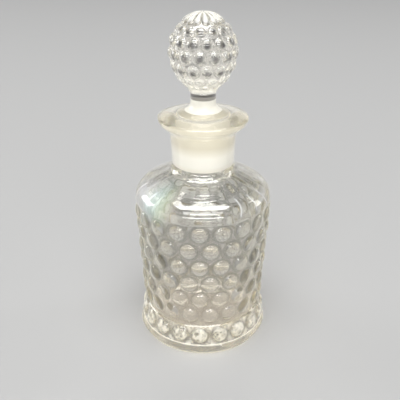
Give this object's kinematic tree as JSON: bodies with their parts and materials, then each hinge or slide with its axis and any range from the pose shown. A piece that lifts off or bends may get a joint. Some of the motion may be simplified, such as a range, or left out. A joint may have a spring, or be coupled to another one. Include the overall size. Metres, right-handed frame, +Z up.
{
  "type": "dresser bottle",
  "caption": "Clear pressed glass dresser bottle: round hobnail body on a flared foot, smooth shoulder, flared lip, and a ground stopper with a hobnail head that lifts out.",
  "frame": {"origin": "centre of the flat ring under the foot that the bottle stands on, on the bottle's axis", "axes": "+Z up along the bottle's axis, from the foot through the stopper; -Y is the side that faces the viewer in the picture; +X is on that viewer's right"},
  "size_m": [0.0641, 0.0642, 0.155],
  "materials": {
    "bottle_glass": "clear pressed glass with a faint warm tint, fire-polished outside, finely ground white inside the neck",
    "stopper_glass": "clear pressed glass with a faint warm tint, fire-polished head and stem, finely ground white shank"
  },
  "bodies": {
    "bottle": {"bottle": "bottle_glass"},
    "stopper": {"stopper": "stopper_glass"}
  },
  "joints": [
    {"name": "stopper_lift", "type": "slide", "parent": "bottle", "child": "stopper", "axis": [0, 0, 1], "range_m": [0, 0.06]}
  ]
}
